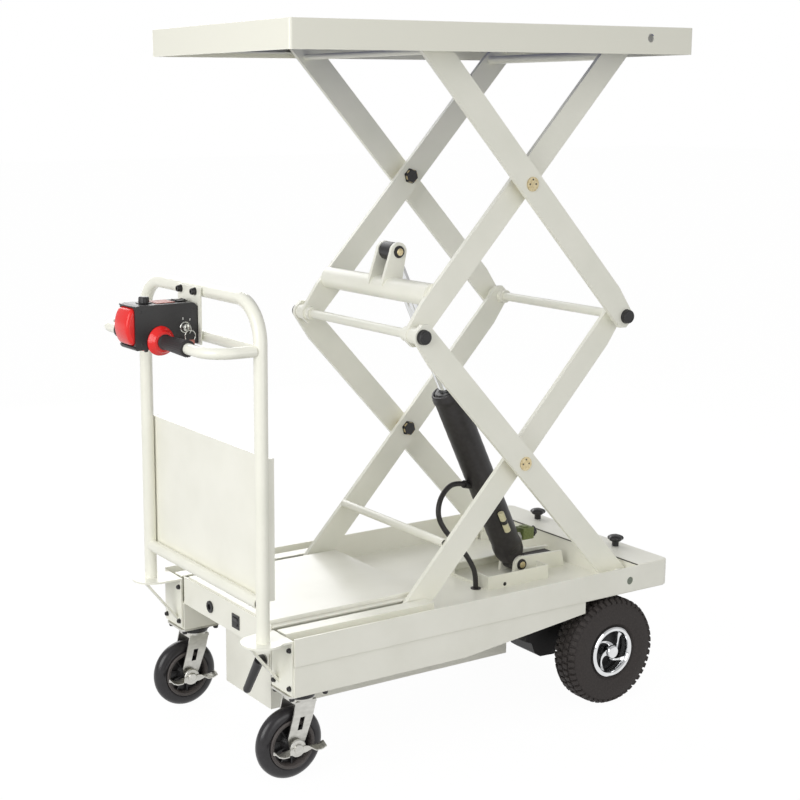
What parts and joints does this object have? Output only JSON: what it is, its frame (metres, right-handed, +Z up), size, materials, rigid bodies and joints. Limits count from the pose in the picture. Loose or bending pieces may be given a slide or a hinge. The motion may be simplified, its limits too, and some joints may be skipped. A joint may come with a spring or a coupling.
{
  "type": "scissor lift table",
  "caption": "Self-propelled double scissor lift cart: a steel platform on crossed arms over a wheeled base, raised by a hydraulic cylinder and steered from a tall handle with a control head.",
  "frame": {"origin": "middle of the length and width at floor level", "axes": "+X from the handle towards the driven wheels, +Y to the operator's left, +Z up"},
  "size_m": [1.232, 0.584, 1.4891],
  "materials": {
    "white_paint": "gloss",
    "black_steel": "satin",
    "pins": "satin",
    "zinc": "satin",
    "chrome": "gloss",
    "black_rubber": "matte",
    "tyre": "matte",
    "black_plastic": "matte",
    "red_plastic": "gloss",
    "green_metal": "satin"
  },
  "bodies": {
    "base": {"skirt_frame": "white_paint", "deck_floor": "white_paint", "chassis_rails": "white_paint", "roller_channels": "white_paint", "battery_cover": "white_paint", "front_panel": "white_paint", "charge_inlet": "black_plastic", "battery_box": "white_paint", "power_pack": "black_plastic", "lift_pedestal": "white_paint", "hydraulic_hose": "black_rubber", "hose_grommet": "black_rubber", "rear_cover": "white_paint", "deck_pivots": "white_paint", "drive_unit": "black_steel", "caster_plates": "zinc", "corner_brackets": "white_paint", "frame_bolts": "black_steel", "handle_frame": "white_paint", "push_bar": "white_paint", "handle_grips": "black_rubber", "handle_panel": "white_paint", "controller_bracket": "white_paint", "controller_housing": "black_plastic"},
    "lower_outer_frame": {"lower_outer_arms": "white_paint"},
    "lower_inner_frame": {"lower_inner_arms": "white_paint", "lower_pivot_pins": "pins", "lower_cross_tubes": "white_paint"},
    "upper_inner_frame": {"upper_inner_arms": "white_paint", "upper_pivot_pins": "pins", "upper_cross_tubes": "white_paint"},
    "upper_outer_frame": {"upper_outer_arms": "white_paint", "upper_roller_studs": "white_paint"},
    "platform": {"platform_tray": "white_paint", "platform_channels": "white_paint", "platform_pivots": "white_paint"},
    "piston_rod_body": {"piston_rod": "chrome"},
    "cylinder_body": {"cylinder_barrel": "black_steel", "cylinder_sleeve": "black_rubber", "valve_block": "green_metal", "hose_union": "black_steel"},
    "lower_roller_pair": {"deck_rollers": "pins"},
    "upper_roller_pair": {"platform_rollers": "pins"},
    "button": {"belly_button": "red_plastic"},
    "throttle": {"throttle_paddles": "red_plastic"},
    "lift_switch": {"lift_rocker": "black_plastic"},
    "selector": {"top_knob": "black_plastic"},
    "key": {"ignition_key": "zinc"},
    "release": {"release_lever": "black_plastic"},
    "power_switch": {"power_rocker": "black_plastic"},
    "swivel_fork_right": {"caster_fork_right": "zinc"},
    "small_wheel_right": {"caster_wheel_right": "tyre"},
    "pedal_right": {"brake_pedal_right": "zinc"},
    "large_wheel_right": {"drive_wheel_right": "tyre"},
    "knob_right": {"star_knob_right": "black_plastic"},
    "swivel_fork_left": {"caster_fork_left": "zinc"},
    "small_wheel_left": {"caster_wheel_left": "tyre"},
    "pedal_left": {"brake_pedal_left": "zinc"},
    "large_wheel_left": {"drive_wheel_left": "tyre"},
    "knob_left": {"star_knob_left": "black_plastic"}
  },
  "joints": [
    {"name": "lift", "type": "hinge", "parent": "base", "child": "lower_outer_frame", "pos_m": [0.494, 0, 0.2783], "axis": [0, -1, 0], "range_deg": [0, 39.15], "deforming": ["hydraulic_hose"]},
    {"name": "lower_crossing", "type": "hinge", "parent": "lower_outer_frame", "child": "lower_inner_frame", "pos_m": [0.21857, 0, 0.57522], "axis": [0, -1, 0], "range_deg": [-78.35, 0]},
    {"name": "left_knee", "type": "hinge", "parent": "lower_outer_frame", "child": "upper_inner_frame", "pos_m": [-0.05687, 0, 0.87214], "axis": [0, -1, 0], "range_deg": [-78.35, 0]},
    {"name": "upper_crossing", "type": "hinge", "parent": "upper_inner_frame", "child": "upper_outer_frame", "pos_m": [0.21857, 0, 1.16906], "axis": [0, -1, 0], "range_deg": [0, 78.35]},
    {"name": "platform_pivot", "type": "hinge", "parent": "upper_inner_frame", "child": "platform", "pos_m": [0.494, 0, 1.46598], "axis": [0, -1, 0], "range_deg": [0, 39.2]},
    {"name": "clevis_pivot", "type": "hinge", "parent": "upper_inner_frame", "child": "piston_rod_body", "pos_m": [0.015, -0.02, 1.025], "axis": [0, -1, 0], "range_deg": [0, 84.09]},
    {"name": "ram", "type": "slide", "parent": "piston_rod_body", "child": "cylinder_body", "axis": [-0.4303, 0, 0.9027], "range_m": [0, 0.26941]},
    {"name": "lower_rollers", "type": "hinge", "parent": "lower_inner_frame", "child": "lower_roller_pair", "pos_m": [-0.05687, 0, 0.2783], "axis": [0, 1, 0], "continuous": true},
    {"name": "upper_rollers", "type": "hinge", "parent": "upper_outer_frame", "child": "upper_roller_pair", "pos_m": [-0.05687, 0, 1.46598], "axis": [0, 1, 0], "continuous": true},
    {"name": "swivel_right", "type": "hinge", "parent": "base", "child": "swivel_fork_right", "pos_m": [-0.346, -0.227, 0.178], "axis": [0, 0, 1], "continuous": true},
    {"name": "caster_roll_right", "type": "hinge", "parent": "swivel_fork_right", "child": "small_wheel_right", "pos_m": [-0.373, -0.227, 0.075], "axis": [0, 1, 0], "continuous": true},
    {"name": "brake_right", "type": "hinge", "parent": "swivel_fork_right", "child": "pedal_right", "pos_m": [-0.373, -0.227, 0.075], "axis": [0, 1, 0], "range_deg": [0, 15]},
    {"name": "drive_roll_right", "type": "hinge", "parent": "base", "child": "large_wheel_right", "pos_m": [0.441, -0.257, 0.123], "axis": [0, 1, 0], "continuous": true},
    {"name": "knob_turn_right", "type": "hinge", "parent": "base", "child": "knob_right", "pos_m": [0.578, -0.139, 0.31], "axis": [0, 0, 1], "continuous": true},
    {"name": "swivel_left", "type": "hinge", "parent": "base", "child": "swivel_fork_left", "pos_m": [-0.346, 0.227, 0.178], "axis": [0, 0, 1], "continuous": true},
    {"name": "caster_roll_left", "type": "hinge", "parent": "swivel_fork_left", "child": "small_wheel_left", "pos_m": [-0.373, 0.227, 0.075], "axis": [0, 1, 0], "continuous": true},
    {"name": "brake_left", "type": "hinge", "parent": "swivel_fork_left", "child": "pedal_left", "pos_m": [-0.373, 0.227, 0.075], "axis": [0, 1, 0], "range_deg": [0, 15]},
    {"name": "drive_roll_left", "type": "hinge", "parent": "base", "child": "large_wheel_left", "pos_m": [0.441, 0.257, 0.123], "axis": [0, 1, 0], "continuous": true},
    {"name": "knob_turn_left", "type": "hinge", "parent": "base", "child": "knob_left", "pos_m": [0.578, 0.139, 0.31], "axis": [0, 0, 1], "continuous": true},
    {"name": "button_press", "type": "slide", "parent": "base", "child": "button", "axis": [1, 0, 0], "range_m": [0, 0.008], "stiffness_N_per_m": 1500},
    {"name": "throttle", "type": "hinge", "parent": "base", "child": "throttle", "pos_m": [-0.544, 0, 0.88], "axis": [0, 1, 0], "range_deg": [-20, 20], "stiffness_Nm_per_rad": 0.6},
    {"name": "lift_switch", "type": "hinge", "parent": "base", "child": "lift_switch", "pos_m": [-0.486, 0, 0.95], "axis": [0, 1, 0], "range_deg": [-8, 8], "stiffness_Nm_per_rad": 0.15},
    {"name": "selector", "type": "hinge", "parent": "base", "child": "selector", "pos_m": [-0.562, 0, 0.952], "axis": [0, 0, 1], "range_deg": [-60, 60]},
    {"name": "key_turn", "type": "hinge", "parent": "base", "child": "key", "pos_m": [-0.49, -0.034, 0.903], "axis": [0, 1, 0], "range_deg": [0, 90]},
    {"name": "release", "type": "hinge", "parent": "base", "child": "release", "pos_m": [-0.4034, -0.165, 0.234], "axis": [1, 0, 0], "range_deg": [0, 30]},
    {"name": "power_switch", "type": "hinge", "parent": "base", "child": "power_switch", "pos_m": [-0.3909, -0.046, 0.278], "axis": [0, 1, 0], "range_deg": [0, 5]}
  ],
  "couplings": [
    {"joint": "lower_crossing", "follows": "lift", "ratio": -2},
    {"joint": "left_knee", "follows": "lift", "ratio": -2},
    {"joint": "upper_crossing", "follows": "lift", "ratio": 2},
    {"joint": "platform_pivot", "follows": "lift", "ratio": 1},
    {"joint": "clevis_pivot", "follows": "lift", "ratio": 2.1467},
    {"joint": "ram", "follows": "lift", "m_per_rad": 0.39413}
  ]
}
